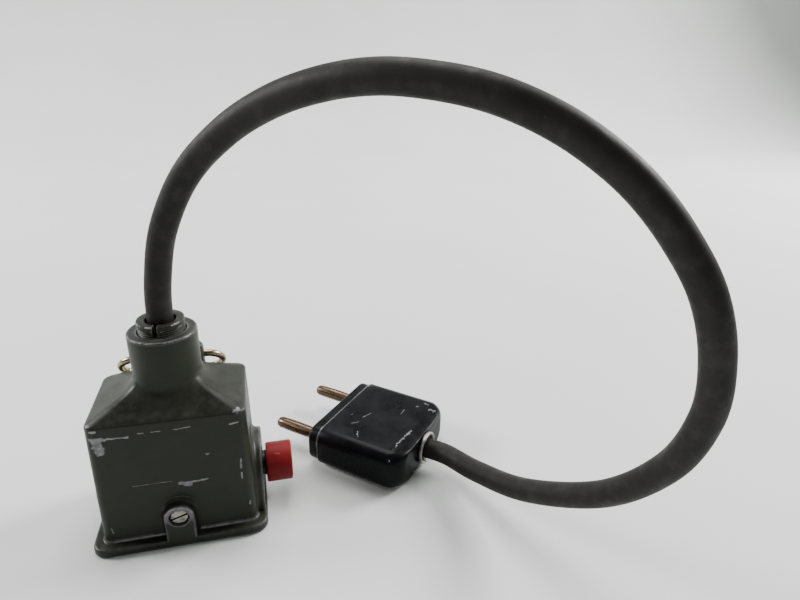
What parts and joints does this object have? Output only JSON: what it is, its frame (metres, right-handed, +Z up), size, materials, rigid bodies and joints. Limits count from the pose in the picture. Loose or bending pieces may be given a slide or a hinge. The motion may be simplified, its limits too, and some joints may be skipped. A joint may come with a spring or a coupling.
{
  "type": "push-button morse key with plug lead",
  "caption": "Small cast push-button morse key: flanged box with a pyramid roof and gland neck, sprung side button, strap ring, and a stiff rubber lead ending in a flat two-pin plug.",
  "frame": {"origin": "middle of the flat underside of the base plate, on the surface that the key stands on", "axes": "+Z up through the neck, +X towards the push button, -Y towards the front face with the cover screw"},
  "size_m": [0.1657, 0.1445, 0.1535],
  "materials": {
    "olive_paint": "worn semi-matt olive-drab paint on cast alloy",
    "black_paint": "chipped satin black paint",
    "steel": "plain turned steel, dull",
    "zinc_wire": "yellow passivated zinc plate",
    "brass": "tarnished brass",
    "red_plastic": "satin moulded plastic",
    "black_plastic": "moulded insulating plastic",
    "bakelite": "brown phenolic moulding",
    "rubber": "matt dark rubber",
    "wire_red": "plain core insulation",
    "wire_grey": "plain core insulation"
  },
  "bodies": {
    "case": {"housing": "olive_paint", "base_plate": "olive_paint", "base_gasket": "rubber", "cover_screw_front": "steel", "cover_screw_back": "steel", "cover_screw_left": "steel", "gland_nut": "olive_paint", "gland_washer": "steel", "gland_seal": "rubber", "button_bush": "black_plastic", "bush_nut": "brass", "return_spring": "steel", "contact_block": "bakelite", "contact_blade_front": "brass", "contact_blade_back": "brass", "terminal_screw_front": "steel", "terminal_screw_back": "steel", "block_screw_front": "steel", "block_screw_back": "steel", "core_wire_front": "wire_red", "core_wire_back": "wire_grey", "cable": "rubber", "plug_shell": "black_paint", "plug_face": "black_plastic", "plug_pin_front": "brass", "plug_pin_back": "brass", "pin_nut_front": "brass", "pin_nut_back": "brass", "plug_wire_front": "wire_red", "plug_wire_back": "wire_grey", "cable_ferrule": "steel"},
    "button": {"push_button": "red_plastic", "plunger": "steel", "plunger_clip": "steel", "contact_bridge": "brass", "bridge_nut": "brass"},
    "ring": {"strap_ring": "zinc_wire"}
  },
  "joints": [
    {"name": "button_press", "type": "slide", "parent": "case", "child": "button", "axis": [-1, 0, 0], "range_m": [0, 0.001], "stiffness_N_per_m": 400, "springref_m": -0.001, "deforming": ["return_spring"]},
    {"name": "ring_swing", "type": "hinge", "parent": "case", "child": "ring", "pos_m": [-0.001, 0.0134, 0.0546], "axis": [1, 0, 0], "range_deg": [0, 138]}
  ]
}
